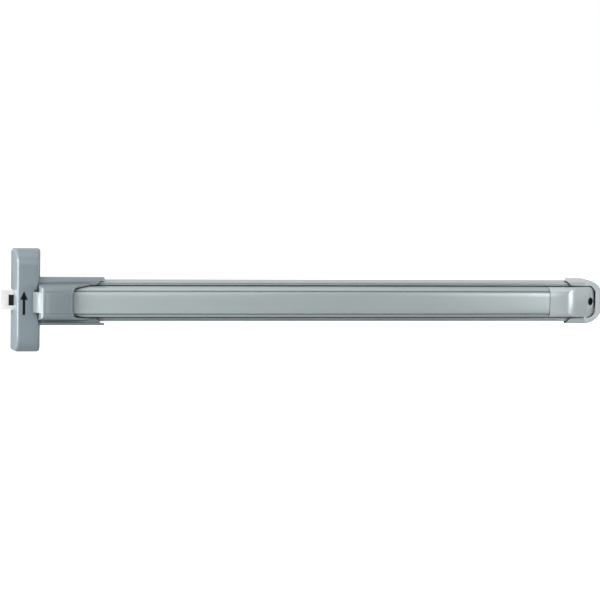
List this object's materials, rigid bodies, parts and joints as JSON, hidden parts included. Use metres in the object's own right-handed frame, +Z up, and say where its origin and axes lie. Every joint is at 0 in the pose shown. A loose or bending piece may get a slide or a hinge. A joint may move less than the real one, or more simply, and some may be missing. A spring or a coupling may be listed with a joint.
{
  "type": "panic exit bar",
  "caption": "Touch-bar panic exit device: pressing the sprung bar in its rail turns bell cranks that pull a rod and swing the rim latch into its case.",
  "frame": {"origin": "centre of the lock case's four door screws, on the door face", "axes": "+X along the bar away from the latch, +Y into the door, +Z up"},
  "size_m": [0.8844, 0.068, 0.146],
  "materials": {
    "case_paint": "satin silver-grey paint on a casting",
    "rail_metal": "satin anodised extrusion",
    "bar_metal": "satin anodised extrusion",
    "cowl_paint": "satin silver-grey paint",
    "cap_paint": "satin silver-grey paint",
    "latch_metal": "bright nickel plate",
    "trigger_plastic": "black moulded plastic",
    "zinc_plate": "zinc-plated pressed steel",
    "crank_steel": "case-hardened steel",
    "pin_steel": "ground steel",
    "screw_steel": "zinc-plated steel",
    "rivet_aluminium": "plain",
    "spring_steel": "oiled spring wire",
    "bronze": "sintered bronze",
    "nylon": "natural nylon"
  },
  "bodies": {
    "chassis": {"case_cover": "case_paint", "case_base": "zinc_plate", "case_cover_screws": "screw_steel", "latch_bracket": "zinc_plate", "latch_bracket_rivets": "rivet_aluminium", "latch_pivot_pin": "pin_steel", "latch_pin_clips": "spring_steel", "joining_plate": "zinc_plate", "joiner_screws": "screw_steel", "rail": "rail_metal", "rail_far_bracket": "zinc_plate", "far_bracket_rivets": "rivet_aluminium", "end_cap": "cap_paint", "end_cap_screws": "screw_steel", "cowl": "cowl_paint", "cowl_screws": "screw_steel", "spring_bracket": "zinc_plate", "spring_bracket_rivets": "rivet_aluminium", "spring_guide_pins": "pin_steel", "return_springs": "spring_steel", "rod_guides": "nylon", "guide_screws": "screw_steel", "front_crank_bracket": "zinc_plate", "front_bracket_rivets": "rivet_aluminium", "front_crank_pivot_pin": "pin_steel", "front_pin_clips": "spring_steel", "rear_crank_bracket": "zinc_plate", "rear_bracket_rivets": "rivet_aluminium", "rear_crank_pivot_pin": "pin_steel", "rear_pin_clips": "spring_steel"},
    "push_bar": {"push_bar": "bar_metal", "bar_end_piece": "cap_paint", "bar_end_block": "zinc_plate", "bar_end_screw": "screw_steel", "bar_start_plug": "nylon", "front_bar_lug": "zinc_plate", "rear_bar_lug": "zinc_plate"},
    "front_crank": {"front_crank": "crank_steel", "front_crank_bush": "bronze", "front_crank_bar_pin": "pin_steel", "front_crank_rod_pin": "pin_steel"},
    "rear_crank": {"rear_crank": "crank_steel", "rear_crank_bush": "bronze", "rear_crank_bar_pin": "pin_steel", "rear_crank_rod_pin": "pin_steel"},
    "pull_rod": {"pull_rod": "zinc_plate", "rod_spring_carrier": "zinc_plate", "carrier_screws": "screw_steel"},
    "latch": {"latch_bolt": "latch_metal", "latch_tail_pin": "pin_steel", "latch_spring": "spring_steel", "trigger_pin": "pin_steel"},
    "trigger": {"latch_trigger": "trigger_plastic"}
  },
  "joints": [
    {"name": "bar_press", "type": "slide", "parent": "chassis", "child": "push_bar", "axis": [0, 1, 0], "range_m": [0, 0.012], "stiffness_N_per_m": 2500, "springref_m": -0.006},
    {"name": "front_crank_turn", "type": "hinge", "parent": "chassis", "child": "front_crank", "pos_m": [0.15, -0.038, 0], "axis": [0, 0, -1], "range_deg": [0, 28.96]},
    {"name": "rear_crank_turn", "type": "hinge", "parent": "chassis", "child": "rear_crank", "pos_m": [0.65, -0.038, 0], "axis": [0, 0, -1], "range_deg": [0, 28.96]},
    {"name": "rod_pull", "type": "slide", "parent": "chassis", "child": "pull_rod", "axis": [1, 0, 0], "range_m": [0, 0.01301], "deforming": ["return_springs"]},
    {"name": "latch_swing", "type": "hinge", "parent": "chassis", "child": "latch", "pos_m": [-0.008, -0.036, 0], "axis": [0, 0, -1], "range_deg": [0, 31.44]},
    {"name": "trigger_tip", "type": "hinge", "parent": "latch", "child": "trigger", "pos_m": [-0.0112, -0.0244, 0], "axis": [0, 0, -1], "range_deg": [0, 6], "stiffness_Nm_per_rad": 0.02, "springref_deg": -11.46}
  ],
  "couplings": [
    {"joint": "front_crank_turn", "follows": "bar_press", "rad_per_m": 42.113},
    {"joint": "rear_crank_turn", "follows": "bar_press", "rad_per_m": 42.113},
    {"joint": "rod_pull", "follows": "bar_press", "ratio": 1.0833},
    {"joint": "latch_swing", "follows": "bar_press", "rad_per_m": 45.71}
  ]
}
